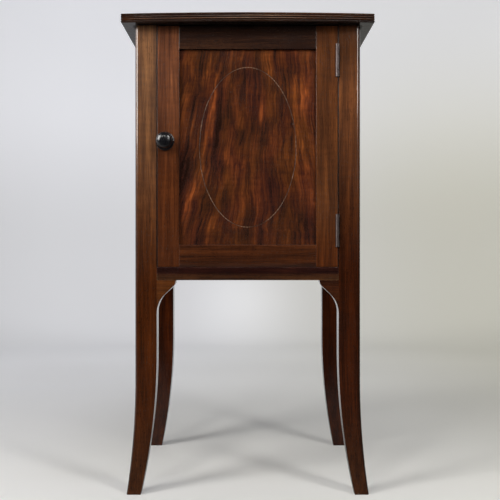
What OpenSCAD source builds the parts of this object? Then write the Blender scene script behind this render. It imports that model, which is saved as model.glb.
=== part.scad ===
// Bedside pot cupboard: four square legs that sweep outwards at the foot, a framed door with a
// figured panel and an oval line of stringing, and a bow-fronted top with a reeded edge.
// Millimetres, Z up, the front towards -Y. The origin is on the floor, under the middle of the
// space that the whole cupboard takes up.

/* [Overall] */
// Height from the floor to the top surface
overall_h = 744; // [680:1:900]
// Width over the straight part of the legs
carcass_w = 352; // [290:1:430]
// Depth over the straight part of the legs
carcass_d = 380; // [300:1:440]
// Height of the lower edge of the cupboard above the floor
underside_h = 332; // [275:1:400]

/* [Top board] */
// How far the top stands out past the legs at each side
top_side_overhang = 20; // [10:0.5:30]
// How far the front corners of the top stand out past the legs
top_front_overhang = 18; // [12:0.5:30]
// How much further the top stands out at the middle of its bowed front
top_bow = 10; // [4:0.5:20]
// How far the top stands out at the back
top_back_overhang = 6; // [0:0.5:12]
// Number of reeds worked round the edge, which makes the thickness of the board
reed_count = 4; // [3:1:6]
// Height of one reed
reed_pitch = 3.5; // [2.5:0.1:5]
// Radius of one reed, a little over half its height so that the reeds meet in sharp quirks
reed_r = 2; // [1.8:0.05:3]

/* [Legs] */
// Side of the square leg
leg_w = 34; // [28:0.5:42]
// Side of the square foot
foot_w = 22; // [18:0.5:27]
// How far the foot stands out past the straight part of the leg, to the side and fore and aft
foot_splay = 12; // [6:0.5:18]
// Height at which the outer faces start to sweep outwards
sweep_out_h = 175; // [120:1:220]
// Height at which the inner faces start to follow them
sweep_in_h = 220; // [150:1:260]
// Radius of the rounded outer arris of each leg
arris_r = 6; // [2:0.5:9]

/* [Carcass] */
// Thickness of the side boards
side_t = 12; // [10:0.5:16]
// How far the side boards lie inside the outer faces of the legs
side_setback = 3; // [1:0.5:6]
// Thickness of the tongues that run along the ends of the side boards
tongue_t = 6; // [4:0.5:8]
// Length of those tongues
tongue_len = 8; // [5:0.5:12]
// Height of the front and rear bottom rails
bottom_rail_h = 20; // [16:0.5:30]
// Thickness of the bottom board, which is flush with the tops of the rails
bottom_t = 12; // [8:0.5:14]
// Thickness of the tongues along the ends of the bottom board, under its face
bottom_tongue_t = 7; // [5:0.5:7.5]
// Depth of the housings in the side boards that hold those tongues
housing_depth = 4; // [3:0.5:6]
// Height of the rail behind the head of the door
head_rail_h = 28; // [20:1:40]
// Height of the rear top rail
rear_rail_h = 40; // [30:1:60]
// How far the rear rails lie inside the back of the legs
rear_setback = 4; // [2:0.5:8]
// Thickness of the rail tenons
tenon_t = 8; // [5:0.5:10]
// Wood left in the legs between the rail tenons and the side boards' grooves
tenon_end_wood = 4; // [2:0.5:6]
// Shoulder left above and below each rail tenon
tenon_shoulder = 4; // [2:0.5:5]
// Thickness of the back panel
back_panel_t = 6; // [4:0.5:8]
// Side of the square blocks glued in the corners between the sides and the top
glue_block_w = 18; // [12:1:24]
// Length of those blocks
glue_block_len = 50; // [30:1:70]
// Clearance round tongues and tenons in their grooves and mortises
joint_clearance = 0.2; // [0.1:0.05:0.4]

/* [Brackets] */
// Width of the shaped bracket along the front rail
bracket_w = 30; // [20:1:45]
// Height of the bracket down the leg
bracket_h = 52; // [30:1:60]
// Thickness of the bracket, from front to back
bracket_t = 30; // [18:1:32]
// Radius of the rounded nose at the tip of the bracket
bracket_nose_r = 13; // [6:0.5:18]
// Share of the slope that the nose and the hollow take up, where 1 leaves no straight piece between them
bracket_curve_share = 0.92; // [0.8:0.01:1]

/* [Door] */
// Thickness of the door
door_t = 18; // [16:0.5:21]
// Gap all round the door
door_gap = 1; // [0.8:0.1:2]
// Width of the stiles
stile_w = 34; // [28:0.5:44]
// Height of the door's top rail
door_top_rail_h = 36; // [28:0.5:50]
// Height of the door's bottom rail
door_bottom_rail_h = 34; // [28:0.5:50]
// Thickness of the door panel
panel_t = 6; // [5:0.5:7]
// How far the face of the panel lies behind the face of the frame
panel_setback = 5; // [3:0.5:6]
// Depth of the grooves that hold the door and back panels
groove_depth = 7; // [5:0.5:9]
// Room left in the grooves for the panels to move with the seasons
panel_room = 1; // [0.5:0.1:2]
// Wood left in the stiles between the door rails' tenons and the hinge screws
door_tenon_end_wood = 2; // [1.5:0.5:4]

/* [Inlay] */
// Distance from the stiles to the middle of the oval line
inlay_side_margin = 31.5; // [15:0.5:40]
// Distance from the door rails to the middle of the oval line
inlay_end_margin = 28; // [15:0.5:60]
// Width of the line
inlay_line = 1; // [0.8:0.1:2.5]
// Depth of the line
inlay_depth = 1; // [0.6:0.1:1.5]

/* [Hinges] */
// Length of each hinge
hinge_len = 51; // [38:1:64]
// Distance from the top of the door to the upper hinge
hinge_from_top = 28; // [20:1:50]
// Distance from the bottom of the door to the lower hinge
hinge_from_bottom = 31; // [20:1:50]
// Width of each leaf from the axis
leaf_w = 15; // [12:0.5:17]
// Thickness of each leaf
leaf_t = 1.3; // [1:0.1:2]
// Diameter of the knuckles
knuckle_d = 5.4; // [4.6:0.1:7]
// Number of knuckles, the end ones on the cupboard's leaf
knuckle_count = 5; // [3:2:7]
// How far the hinge axis stands in front of the door face
axis_proud = 1; // [0.5:0.1:2]
// How far the axis lies from the middle of the gap, towards the door
axis_inset = 1.5; // [0:0.1:2]
// Diameter of the hinge pin
pin_d = 2.4; // [2:0.1:3]
// Running clearance round the pin
pin_clearance = 0.05; // [0.02:0.01:0.1]
// Clearance between knuckles, and round them in the wood
knuckle_clearance = 0.2; // [0.1:0.05:0.4]
// Number of screws in each leaf
leaf_screws = 3; // [2:1:3]
// Diameter of the screw shanks
screw_d = 2.6; // [2:0.1:3]
// Diameter of the screw heads
screw_head_d = 4.8; // [4:0.1:6]
// Length of the screws
screw_len = 12; // [8:0.5:16]
// Width of the slot across the screw heads
screw_slot_w = 0.7; // [0.5:0.1:1]
// Depth of that slot
screw_slot_depth = 0.5; // [0.3:0.1:0.7]

/* [Knob and catch] */
// Distance from the edge of the door to the knob's axis
knob_from_edge = 12; // [10:0.5:17]
// Height of the knob's axis above the lower edge of the door
knob_above_door = 196; // [150:1:205]
// Diameter of the knob's head
knob_d = 25; // [18:0.5:32]
// Diameter of the knob's foot, where it meets the door
knob_foot_d = 29; // [16:0.5:31]
// Diameter of the knob's neck
knob_neck_d = 13; // [10:0.5:16]
// How far the knob stands out from the door
knob_reach = 26; // [20:0.5:28]
// Thickness of the knob's foot
knob_foot_t = 2.6; // [2:0.1:4]
// Depth of the knob's head, from its back to the middle of its crown
knob_head_t = 15; // [10:0.5:17]
// Depth of the crown, in front of the widest part of the head
knob_crown_t = 7.8; // [5:0.1:9]
// Width of the flat rim round the knob's foot
knob_foot_rim = 3; // [1:0.1:4]
// Diameter of the spindle through the stile
spindle_d = 6; // [5:0.1:8]
// Running clearance round the spindle
spindle_clearance = 0.05; // [0.02:0.01:0.1]
// Clearance where the knob and the catch tongue are pressed on the spindle
press_clearance = 0.02; // [0.01:0.01:0.03]
// Diameter of the collar that keeps the tongue off the back of the stile
collar_d = 10; // [8:0.5:12]
// Width of the catch tongue
catch_w = 7; // [7:0.5:8]
// Thickness of the catch tongue
catch_t = 2.5; // [2:0.1:3]
// Gap between moving faces of the knob, catch and stop
catch_gap = 0.4; // [0.2:0.1:0.8]
// Width of the stop strip on the leg behind the door's edge
stop_w = 6.5; // [5:0.5:7]
// Thickness of the stop strip
stop_t = 8; // [6:0.5:10]

/* [Shelf] */
// Height of the top of the shelf above the bottom board
shelf_h = 168; // [120:1:175]
// Thickness of the shelf
shelf_t = 10; // [8:0.5:14]
// How far the front edge of the shelf lies behind the front legs
shelf_setback = 6; // [3:1:60]
// Side of the square bearers under the shelf
bearer_w = 12; // [10:0.5:16]
// Clearance round the loose shelf
shelf_clearance = 0.5; // [0.3:0.1:1]

/* [Hidden] */

left = -1;
right = 1;
front = -1;
rear = 1;
sweep_rings = 20;   // rings of the loft up the swept part of a leg
arris_steps = 6;    // flats round a leg's outer arris
oval_steps = 120;   // straight pieces round the oval line
cut = 1;            // how far a cutter runs out past the face that it opens
bow_fn = 360;
round_fn = 48;
knob_fn = 96;

// Heights
top_t = reed_count * reed_pitch;
carcass_top = overall_h - top_t;
floor_z = underside_h + bottom_rail_h;
door_z = [floor_z + door_gap, carcass_top - door_gap];
opening_z = [door_z[0] + door_bottom_rail_h, door_z[1] - door_top_rail_h];

// Depths: the top or the knob reaches furthest forwards, and the feet or the top furthest back
front_reach = max(top_front_overhang + top_bow, foot_splay, knob_reach);
rear_reach = max(top_back_overhang, foot_splay);
carcass_front = front_reach - (front_reach + carcass_d + rear_reach) / 2;
carcass_back = carcass_front + carcass_d;
leg_back = carcass_front + leg_w;      // back face of the front legs
rear_leg_front = carcass_back - leg_w;
door_back = carcass_front + door_t;

// Widths, measured from the middle
outer_x = carcass_w / 2;
inner_x = outer_x - leg_w;             // inner faces of the legs
side_outer_x = outer_x - side_setback;
side_inner_x = side_outer_x - side_t;
door_x = inner_x - door_gap;
opening_x = door_x - stile_w;

// Positions of the rails' tenons and of the panels
joint_inset = 6;                       // from the face of a rail to its tenon or its panel's groove
side_groove_x = outer_x - side_setback - (side_t + tongue_t) / 2;
tenon_end_x = side_groove_x - tenon_end_wood;
front_tenon_y = [carcass_front + joint_inset, carcass_front + joint_inset + tenon_t];
head_rail_y = [door_back + door_gap, leg_back];
head_tenon_inset = (head_rail_y[1] - head_rail_y[0]) / 4;
head_tenon_y = [head_rail_y[0] + head_tenon_inset, head_rail_y[1] - head_tenon_inset];
rear_rail_y = [rear_leg_front, carcass_back - rear_setback];
rear_tenon_y = [rear_rail_y[0] + joint_inset, rear_rail_y[0] + joint_inset + tenon_t];
bottom_rail_z = [underside_h, floor_z];
head_rail_z = [carcass_top - head_rail_h, carcass_top];
rear_rail_z = [carcass_top - rear_rail_h, carcass_top];
back_panel_y = [rear_rail_y[1] - joint_inset - back_panel_t, rear_rail_y[1] - joint_inset];
panel_y = [carcass_front + panel_setback, carcass_front + panel_setback + panel_t];
door_tenon_y = panel_y;
door_tenon_edge = 8;                   // wood left at the end of the stile past the tenon
top_tenon_z = [opening_z[1] + groove_depth, door_z[1] - door_tenon_edge];
bottom_tenon_z = [door_z[0] + door_tenon_edge, opening_z[0] - groove_depth];
door_tenon_end_x = door_x - screw_len - door_tenon_end_wood;

// Hinge axis and heights
hinge_axis = [inner_x - door_gap / 2 - axis_inset, carcass_front - axis_proud];
leg_face_x = door_gap / 2 + axis_inset;    // from the axis to the leg
door_face_x = door_gap / 2 - axis_inset;   // from the axis to the edge of the door, the other way
upper_hinge_z = door_z[1] - hinge_from_top - hinge_len / 2;
lower_hinge_z = door_z[0] + hinge_from_bottom + hinge_len / 2;
knuckle_pitch = hinge_len / knuckle_count;
leaf_start = knuckle_d / 2 + knuckle_clearance;

// Knob and catch
knob_x = -(door_x - knob_from_edge);
knob_z = door_z[0] + knob_above_door;
stop_y = [door_back + door_gap, door_back + door_gap + stop_t];
catch_y = [stop_y[1] + catch_gap, stop_y[1] + catch_gap + catch_t];
spindle_socket = 12;                   // how deep the spindle goes into the knob
crown_fullness = 0.85;                 // 1 is an ellipse, and less is a fuller, flatter crown
knob_steps = 10;                       // straight pieces in each curve of the knob's profile
catch_swing_r = knob_from_edge + door_gap - catch_gap;
catch_reach = sqrt(catch_swing_r * catch_swing_r - catch_w * catch_w / 4);

// Shelf
shelf_z = [floor_z + shelf_h - shelf_t, floor_z + shelf_h];
bearer_y = [leg_back + shelf_setback, rear_leg_front];

mahogany = [0.42, 0.19, 0.09];
mahogany_dark = [0.3, 0.13, 0.07];
mahogany_figured = [0.5, 0.2, 0.08];
inside_wood = [0.6, 0.45, 0.28];
stringing = [0.78, 0.6, 0.35];
ebonised = [0.06, 0.05, 0.05];
steel_grey = [0.45, 0.43, 0.42];
brass = [0.7, 0.55, 0.25];

// A box between two values along each axis
module block(x, y, z)
    translate([x[0], y[0], z[0]])
        cube([x[1] - x[0], y[1] - y[0], z[1] - z[0]]);

// Shows the children as they are on the right, and mirrored on the left
module on_side(side)
    mirror([side == left ? 1 : 0, 0, 0])
        children();

// ---- Top board ----

// Cross-section of the reeds along an upright edge at x = 0, with the board towards -X
module reeded_edge(board_w)
    intersection() {
        union() {
            translate([-board_w, 0])
                square([board_w - reed_r, top_t]);
            for (i = [0 : reed_count - 1])
                translate([-reed_r, (i + 0.5) * reed_pitch])
                    circle(r = reed_r, $fn = round_fn);
        }
        translate([-board_w, 0])
            square([board_w, top_t]);
    }

// The bowed front is part of a wide ring, and the sides are straight, so the reeds mitre at the corners
module top_board() {
    half_w = outer_x + top_side_overhang;
    bow_r = (half_w * half_w + top_bow * top_bow) / (2 * top_bow);
    front_y = carcass_front - top_front_overhang - top_bow;
    back_y = carcass_back + top_back_overhang;
    color(mahogany_dark)
        intersection() {
            translate([0, front_y + bow_r, carcass_top])
                rotate_extrude($fn = bow_fn)
                    translate([bow_r, 0])
                        reeded_edge(bow_r - cut);
            translate([0, back_y, carcass_top])
                rotate([90, 0, 0])
                    linear_extrude(back_y - front_y + cut) {
                        translate([half_w, 0])
                            reeded_edge(half_w);
                        mirror([1, 0])
                            translate([half_w, 0])
                                reeded_edge(half_w);
                    }
        }
}

// ---- Legs ----

// Sideways shift at height z of an arc that is upright at start_h and ends floor_shift out at the floor
function arc_shift(z, start_h, floor_shift) =
    let (r = (start_h * start_h + floor_shift * floor_shift) / (2 * floor_shift))
    z >= start_h ? 0 : r - sqrt(r * r - (start_h - z) * (start_h - z));

// Section of a leg at height z, with its outer faces at 0 where it is straight and +X and +Y outwards
function leg_section(z) =
    let (
        outside = arc_shift(z, sweep_out_h, foot_splay),
        inside = arc_shift(z, sweep_in_h, leg_w + foot_splay - foot_w) - leg_w,
        r = arris_r * (outside - inside) / leg_w
    )
    concat(
        [[inside, inside, z], [outside, inside, z]],
        [for (i = [0 : arris_steps])
            let (a = 90 * i / arris_steps)
            [outside - r + r * cos(a), outside - r + r * sin(a), z]],
        [[inside, outside, z]]
    );

// A leg lofted through its sections, from the foot to the underside of the top
module leg_blank() {
    swept_h = max(sweep_out_h, sweep_in_h);
    heights = concat([for (i = [0 : sweep_rings]) swept_h * i / sweep_rings], [carcass_top]);
    n = arris_steps + 4;
    last = len(heights) - 1;
    polyhedron(
        points = [for (z = heights) each leg_section(z)],
        faces = concat(
            [[for (i = [0 : n - 1]) i]],
            [[for (i = [n - 1 : -1 : 0]) last * n + i]],
            [for (k = [0 : last - 1], i = [0 : n - 1])
                [k * n + i, (k + 1) * n + i, (k + 1) * n + (i + 1) % n]],
            [for (k = [0 : last - 1], i = [0 : n - 1])
                [k * n + i, (k + 1) * n + (i + 1) % n, k * n + (i + 1) % n]]
        )
    );
}

// Puts a leg at one corner, with its swept foot pointing away from the middle
module at_corner(side, end)
    translate([side * outer_x, end == front ? carcass_front : carcass_back, 0])
        mirror([side == left ? 1 : 0, 0, 0])
            mirror([0, end == front ? 1 : 0, 0])
                leg_blank();

module front_leg(side)
    color(mahogany)
        difference() {
            at_corner(side, front);
            side_tongues(side, joint_clearance);
            rail_tenons(front_tenon_y, bottom_rail_z, joint_clearance);
            rail_tenons(head_tenon_y, head_rail_z, joint_clearance);
            if (side == right)
                at_hinges() {
                    leaf_recess(leg_face_x);
                    leaf_screw_holes(leg_face_x);
                }
        }

module rear_leg(side)
    color(mahogany)
        difference() {
            at_corner(side, rear);
            side_tongues(side, joint_clearance);
            rail_tenons(rear_tenon_y, bottom_rail_z, joint_clearance);
            rail_tenons(rear_tenon_y, rear_rail_z, joint_clearance);
            back_panel_grooves();
        }

module front_left_leg() front_leg(left);
module front_right_leg() front_leg(right);
module rear_left_leg() rear_leg(left);
module rear_right_leg() rear_leg(right);

// ---- Sides, rails, back and bottom ----

// The tongues at both ends of a side board, drawn as one strip through it
module side_tongues(side, clearance) {
    middle_x = (side_inner_x + side_outer_x) / 2;
    half_t = tongue_t / 2 + clearance;
    reach = tongue_len + clearance;
    on_side(side)
        block([middle_x - half_t, middle_x + half_t],
              [leg_back - reach, rear_leg_front + reach],
              [underside_h - clearance, carcass_top + clearance]);
}

module side_board(side)
    color(mahogany)
        difference() {
            union() {
                on_side(side)
                    block([side_inner_x, side_outer_x], [leg_back, rear_leg_front],
                          [underside_h, carcass_top]);
                side_tongues(side, 0);
            }
            bottom_tongues(joint_clearance);
        }

module left_side_board() side_board(left);
module right_side_board() side_board(right);

// The tenons at both ends of a rail, drawn as one strip through it
module rail_tenons(y, z, clearance) {
    reach = tenon_end_x + clearance;
    block([-reach, reach], [y[0] - clearance, y[1] + clearance],
          [z[0] + tenon_shoulder - clearance, z[1] - tenon_shoulder + clearance]);
}

module tenoned_rail(y, z, tenon_y) {
    block([-inner_x, inner_x], y, z);
    rail_tenons(tenon_y, z, 0);
}

module front_bottom_rail()
    color(mahogany_dark)
        tenoned_rail([carcass_front, leg_back], bottom_rail_z, front_tenon_y);

module front_head_rail()
    color(inside_wood)
        tenoned_rail(head_rail_y, head_rail_z, head_tenon_y);

module rear_top_rail()
    color(inside_wood)
        difference() {
            tenoned_rail(rear_rail_y, rear_rail_z, rear_tenon_y);
            back_panel_grooves();
        }

module rear_bottom_rail()
    color(inside_wood)
        difference() {
            tenoned_rail(rear_rail_y, bottom_rail_z, rear_tenon_y);
            back_panel_grooves();
        }

// A slab that reaches past the opening between the rear legs and rails by edge
module back_panel_slab(edge, clearance)
    block([-inner_x - edge, inner_x + edge],
          [back_panel_y[0] - clearance, back_panel_y[1] + clearance],
          [floor_z - edge, rear_rail_z[0] + edge]);

module back_panel_grooves()
    back_panel_slab(groove_depth, joint_clearance);

module back_panel()
    color(inside_wood)
        back_panel_slab(groove_depth - panel_room, 0);

// The tongues at both ends of the bottom board, drawn as one strip through it
module bottom_tongues(clearance) {
    reach = side_inner_x + housing_depth + clearance;
    block([-reach, reach], [leg_back, rear_leg_front],
          [floor_z - bottom_t - clearance, floor_z - bottom_t + bottom_tongue_t + clearance]);
}

module bottom_board()
    color(inside_wood) {
        block([-side_inner_x, side_inner_x], [leg_back, rear_leg_front], [floor_z - bottom_t, floor_z]);
        bottom_tongues(0);
    }

module glue_blocks()
    color(inside_wood)
        for (side = [left, right], part = [1, 2])
            on_side(side)
                translate([side_inner_x - glue_block_w,
                           leg_back + (rear_leg_front - leg_back) * part / 3 - glue_block_len / 2,
                           carcass_top - glue_block_w])
                    cube([glue_block_w, glue_block_len, glue_block_w]);

// ---- Brackets ----

// Outline of a bracket: a rounded nose under the rail, a straight slope, and a hollow down to the leg.
// Each arc is upright at its outer end and turns until it meets the slope. With the largest radii that
// fit, the two arcs meet and the slope has no length.
function bracket_outline() =
    let (
        largest_radii = (bracket_w * bracket_w + bracket_h * bracket_h) / (2 * bracket_w),
        radii = bracket_curve_share * largest_radii,
        hollow_r = radii - bracket_nose_r,
        centres_x = radii - bracket_w,
        turn = atan2(bracket_h, centres_x) - acos(radii / norm([centres_x, bracket_h])),
        steps = 10,
        nose = [for (i = [0 : steps])
            let (a = turn * i / steps)
            [bracket_w - bracket_nose_r * (1 - cos(a)), -bracket_nose_r * sin(a)]],
        hollow = [for (i = [0 : steps])
            let (a = turn * (steps - i) / steps)
            [hollow_r * (1 - cos(a)), -bracket_h + hollow_r * sin(a)]]
    )
    concat([[0, 0]], nose, hollow);

module bracket(side)
    color(mahogany_dark)
        mirror([side == left ? 0 : 1, 0, 0])
            translate([-inner_x, carcass_front + bracket_t, underside_h])
                rotate([90, 0, 0])
                    linear_extrude(bracket_t)
                        polygon(bracket_outline());

module left_bracket() bracket(left);
module right_bracket() bracket(right);

// ---- Shelf and stop ----

module shelf()
    color(inside_wood)
        difference() {
            block([-side_inner_x + shelf_clearance, side_inner_x - shelf_clearance],
                  [bearer_y[0], back_panel_y[0] - shelf_clearance], shelf_z);
            for (side = [left, right])
                on_side(side)
                    block([inner_x - shelf_clearance, outer_x],
                          [rear_leg_front - shelf_clearance, carcass_back],
                          [shelf_z[0] - cut, shelf_z[1] + cut]);
        }

module shelf_bearers()
    color(inside_wood)
        for (side = [left, right])
            on_side(side)
                block([side_inner_x - bearer_w, side_inner_x], bearer_y,
                      [shelf_z[0] - bearer_w, shelf_z[0]]);

// A strip on the inner face of the left leg, which the door closes against and the tongue hooks behind
module door_stop()
    color(inside_wood)
        block([-inner_x, -inner_x + stop_w], stop_y, [floor_z, head_rail_z[0]]);

// ---- Hinges: drawn round their axis, with the cupboard's leaf towards +X ----
// A leaf lies in the edge of the wood at face_x, and the door's leaf is a mirror image of this.

module at_hinges()
    for (z = [upper_hinge_z, lower_hinge_z])
        translate([hinge_axis[0], hinge_axis[1], z])
            children();

// Knuckles number 1, 3, 5 and so on from the bottom for first = 0, and 2, 4 and so on for first = 1
module leaf(first, face_x) {
    plate_x = [face_x, face_x + leaf_t];
    difference() {
        union() {
            block(plate_x, [leaf_start, leaf_w], [-hinge_len / 2, hinge_len / 2]);
            for (i = [first : 2 : knuckle_count - 1]) {
                low = -hinge_len / 2 + i * knuckle_pitch + (i > 0 ? knuckle_clearance / 2 : 0);
                high = -hinge_len / 2 + (i + 1) * knuckle_pitch
                       - (i < knuckle_count - 1 ? knuckle_clearance / 2 : 0);
                translate([0, 0, low])
                    cylinder(d = knuckle_d, h = high - low, $fn = round_fn);
                block(plate_x, [0, leaf_start], [low, high]);
            }
        }
        translate([0, 0, -hinge_len / 2 - cut])
            cylinder(d = pin_d + 2 * pin_clearance, h = hinge_len + 2 * cut, $fn = round_fn);
        leaf_screw_holes(face_x);
    }
}

// Screw positions on a leaf, each with its axis along +X and its head at the face of the leaf
module at_leaf_screws(face_x)
    for (i = [0 : leaf_screws - 1])
        translate([face_x, (leaf_start + leaf_w) / 2,
                   hinge_len * ((i + 0.5) / leaf_screws - 0.5)])
            rotate([0, 90, 0])
                children();

module screw_shape(clearance) {
    head_t = (screw_head_d - screw_d) / 2;
    cylinder(d1 = screw_head_d + 2 * clearance, d2 = screw_d + 2 * clearance, h = head_t, $fn = round_fn);
    cylinder(d = screw_d + 2 * clearance, h = screw_len + clearance, $fn = round_fn);
}

module leaf_screw_holes(face_x)
    at_leaf_screws(face_x)
        screw_shape(pin_clearance);

// A countersunk screw with a slot across its head
module screw()
    difference() {
        screw_shape(0);
        translate([-screw_head_d, -screw_slot_w / 2, -cut])
            cube([2 * screw_head_d, screw_slot_w, cut + screw_slot_depth]);
    }

// The room that a leaf and the knuckles take up in the wood beside them
module leaf_recess(face_x) {
    half_len = hinge_len / 2 + knuckle_clearance;
    block([face_x - cut, face_x + leaf_t], [-cut, leaf_w + knuckle_clearance], [-half_len, half_len]);
    translate([0, 0, -half_len])
        cylinder(d = knuckle_d + 2 * knuckle_clearance, h = 2 * half_len, $fn = round_fn);
}

module frame_leaf(z)
    color(steel_grey)
        translate([hinge_axis[0], hinge_axis[1], z])
            leaf(0, leg_face_x);

module door_leaf(z)
    color(steel_grey)
        translate([hinge_axis[0], hinge_axis[1], z])
            mirror([1, 0, 0])
                leaf(1, door_face_x);

module upper_hinge_frame_leaf() frame_leaf(upper_hinge_z);
module lower_hinge_frame_leaf() frame_leaf(lower_hinge_z);
module upper_hinge_door_leaf() door_leaf(upper_hinge_z);
module lower_hinge_door_leaf() door_leaf(lower_hinge_z);

module hinge_pins()
    color(steel_grey)
        at_hinges()
            translate([0, 0, -hinge_len / 2])
                cylinder(d = pin_d, h = hinge_len, $fn = round_fn);

module hinge_frame_screws()
    color(steel_grey)
        at_hinges()
            at_leaf_screws(leg_face_x)
                screw();

module hinge_door_screws()
    color(steel_grey)
        at_hinges()
            mirror([1, 0, 0])
                at_leaf_screws(door_face_x)
                    screw();

// ---- Door ----

// The tenons at both ends of a door rail, which stop short of the panel's groove and the door's edge
module door_tenons(z, clearance) {
    reach = door_tenon_end_x + clearance;
    block([-reach, reach], [door_tenon_y[0] - clearance, door_tenon_y[1] + clearance],
          [z[0] - clearance, z[1] + clearance]);
}

// A slab that reaches past the opening in the door frame by edge
module door_panel_slab(edge, clearance)
    block([-opening_x - edge, opening_x + edge],
          [panel_y[0] - clearance, panel_y[1] + clearance],
          [opening_z[0] - edge, opening_z[1] + edge]);

module door_panel_grooves()
    door_panel_slab(groove_depth, joint_clearance);

module stile(side)
    color(mahogany)
        difference() {
            on_side(side)
                block([opening_x, door_x], [carcass_front, door_back], door_z);
            door_panel_grooves();
            door_tenons(top_tenon_z, joint_clearance);
            door_tenons(bottom_tenon_z, joint_clearance);
            if (side == right)
                at_hinges()
                    mirror([1, 0, 0]) {
                        leaf_recess(door_face_x);
                        leaf_screw_holes(door_face_x);
                    }
            if (side == left)
                translate([knob_x, carcass_front - cut, knob_z])
                    rotate([-90, 0, 0])
                        cylinder(d = spindle_d + 2 * spindle_clearance, h = door_t + 2 * cut, $fn = round_fn);
        }

module door_lock_stile() stile(left);
module door_hinge_stile() stile(right);

module door_rail(z, tenon_z)
    color(mahogany_dark)
        difference() {
            union() {
                block([-opening_x, opening_x], [carcass_front, door_back], z);
                door_tenons(tenon_z, 0);
            }
            door_panel_grooves();
        }

module door_top_rail() door_rail([opening_z[1], door_z[1]], top_tenon_z);
module door_bottom_rail() door_rail([door_z[0], opening_z[0]], bottom_tenon_z);

// An oval that lies inside the opening in the door frame, larger by grow than the middle of the line
function oval(grow) =
    let (
        half_w = opening_x - inlay_side_margin + grow,
        half_h = (opening_z[1] - opening_z[0]) / 2 - inlay_end_margin + grow
    )
    [for (i = [0 : oval_steps - 1])
        let (a = 360 * i / oval_steps)
        [half_w * cos(a), half_h * sin(a)]];

// The oval line let into the face of the panel, or its groove, which runs out past the face
module oval_line(past_face)
    translate([0, panel_y[0] + inlay_depth, (opening_z[0] + opening_z[1]) / 2])
        rotate([90, 0, 0])
            linear_extrude(inlay_depth + past_face)
                difference() {
                    polygon(oval(inlay_line / 2));
                    polygon(oval(-inlay_line / 2));
                }

module door_panel()
    color(mahogany_figured)
        difference() {
            door_panel_slab(groove_depth - panel_room, 0);
            oval_line(cut);
        }

module oval_inlay()
    color(stringing)
        oval_line(0);

// ---- Knob and catch: drawn with +Z along the spindle, out of the face of the door ----

module at_knob()
    translate([knob_x, carcass_front, knob_z])
        rotate([90, 0, 0])
            children();

// Half profile of the turned knob: a thin foot, a hollow neck and a head with a low crown
function knob_profile() =
    let (
        head_r = knob_d / 2,
        foot_r = knob_foot_d / 2,
        neck_r = knob_neck_d / 2,
        rim_z = knob_reach - knob_crown_t,
        head_z = knob_reach - knob_head_t,
        foot_z = catch_gap + knob_foot_t,
        neck_start = foot_r - knob_foot_rim,
        foot = [for (i = [0 : knob_steps])
            let (a = 180 * i / knob_steps - 90)
            [foot_r - knob_foot_t / 2 * (1 - cos(a)), catch_gap + knob_foot_t / 2 * (1 + sin(a))]],
        neck = [for (i = [0 : knob_steps])
            let (t = i / knob_steps)
            [neck_start + (neck_r - neck_start) * (1 - cos(180 * t)) / 2, foot_z + (head_z - foot_z) * t]],
        under = [for (i = [1 : knob_steps])
            let (a = 90 * i / knob_steps)
            [neck_r + (head_r - neck_r) * sin(a), rim_z - (rim_z - head_z) * cos(a)]],
        crown = [for (i = [1 : knob_steps])
            let (a = 90 * i / knob_steps)
            [head_r * pow(cos(a), crown_fullness), rim_z + knob_crown_t * sin(a)]]
    )
    concat([[0, catch_gap]], foot, neck, under, crown);

module knob()
    color(ebonised)
        at_knob()
            difference() {
                rotate_extrude($fn = knob_fn)
                    polygon(knob_profile());
                cylinder(d = spindle_d + 2 * press_clearance, h = spindle_socket + press_clearance, $fn = round_fn);
            }

// The spindle, with the collar that keeps the tongue off the back of the stile
module knob_spindle() {
    tail = catch_y[1] - carcass_front;
    collar_z = [door_t + catch_gap, catch_y[0] - carcass_front];
    color(brass)
        at_knob() {
            translate([0, 0, -tail])
                cylinder(d = spindle_d, h = tail + spindle_socket, $fn = round_fn);
            translate([0, 0, -collar_z[1]])
                cylinder(d = collar_d, h = collar_z[1] - collar_z[0], $fn = round_fn);
        }
}

// The tongue, which points upwards here, with the catch let go
module catch_tongue()
    color(brass)
        translate([knob_x, catch_y[1], knob_z])
            rotate([90, 0, 0])
                linear_extrude(catch_t)
                    difference() {
                        union() {
                            circle(d = collar_d, $fn = round_fn);
                            translate([-catch_w / 2, 0])
                                square([catch_w, catch_reach]);
                        }
                        circle(d = spindle_d + 2 * press_clearance, $fn = round_fn);
                    }

top_board();
front_left_leg();
front_right_leg();
rear_left_leg();
rear_right_leg();
left_side_board();
right_side_board();
front_bottom_rail();
front_head_rail();
rear_top_rail();
rear_bottom_rail();
back_panel();
bottom_board();
left_bracket();
right_bracket();
shelf();
shelf_bearers();
glue_blocks();
door_stop();
upper_hinge_frame_leaf();
lower_hinge_frame_leaf();
hinge_pins();
hinge_frame_screws();
door_lock_stile();
door_hinge_stile();
door_top_rail();
door_bottom_rail();
door_panel();
oval_inlay();
upper_hinge_door_leaf();
lower_hinge_door_leaf();
hinge_door_screws();
knob();
knob_spindle();
catch_tongue();
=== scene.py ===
import math

import bpy
import bmesh
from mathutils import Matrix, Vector


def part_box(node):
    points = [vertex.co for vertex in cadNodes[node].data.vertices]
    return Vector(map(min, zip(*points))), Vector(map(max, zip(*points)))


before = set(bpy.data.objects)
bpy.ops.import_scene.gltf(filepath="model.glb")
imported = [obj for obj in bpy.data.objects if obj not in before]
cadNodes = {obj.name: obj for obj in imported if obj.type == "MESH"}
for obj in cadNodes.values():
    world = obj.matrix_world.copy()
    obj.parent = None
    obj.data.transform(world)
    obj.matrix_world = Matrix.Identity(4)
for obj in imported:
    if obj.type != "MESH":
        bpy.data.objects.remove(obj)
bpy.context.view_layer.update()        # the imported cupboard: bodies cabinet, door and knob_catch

print("cupboard loaded:", len(cadNodes), "nodes")


# Camera: level, straight in front of the door

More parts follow.
